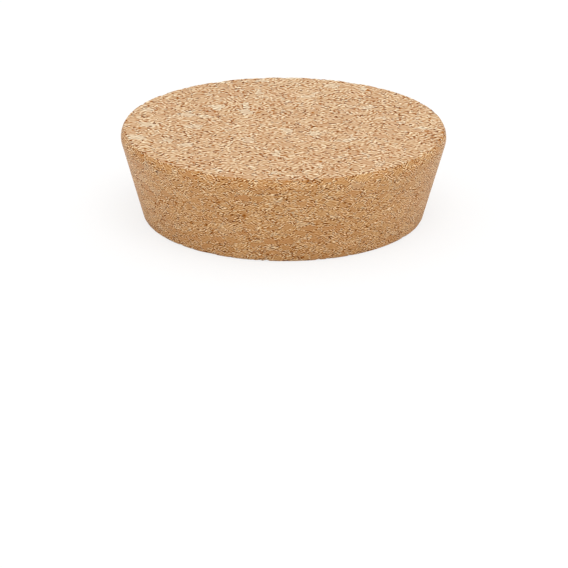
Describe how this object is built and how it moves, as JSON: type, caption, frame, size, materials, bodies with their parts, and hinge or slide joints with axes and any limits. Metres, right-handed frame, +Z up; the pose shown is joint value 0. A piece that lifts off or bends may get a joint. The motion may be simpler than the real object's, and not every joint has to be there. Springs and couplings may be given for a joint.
{
  "type": "cork stopper",
  "caption": "Wide, shallow tapered stopper of pressed cork granules, with a flat top and base and a rounded top edge.",
  "frame": {"origin": "centre of the flat base", "axes": "+Z up along the axis of the taper, from the narrow base to the wide top face"},
  "size_m": [0.09, 0.09, 0.025],
  "materials": {
    "cork": "matte"
  },
  "bodies": {
    "root": {"cork_stopper": "cork"}
  },
  "joints": []
}
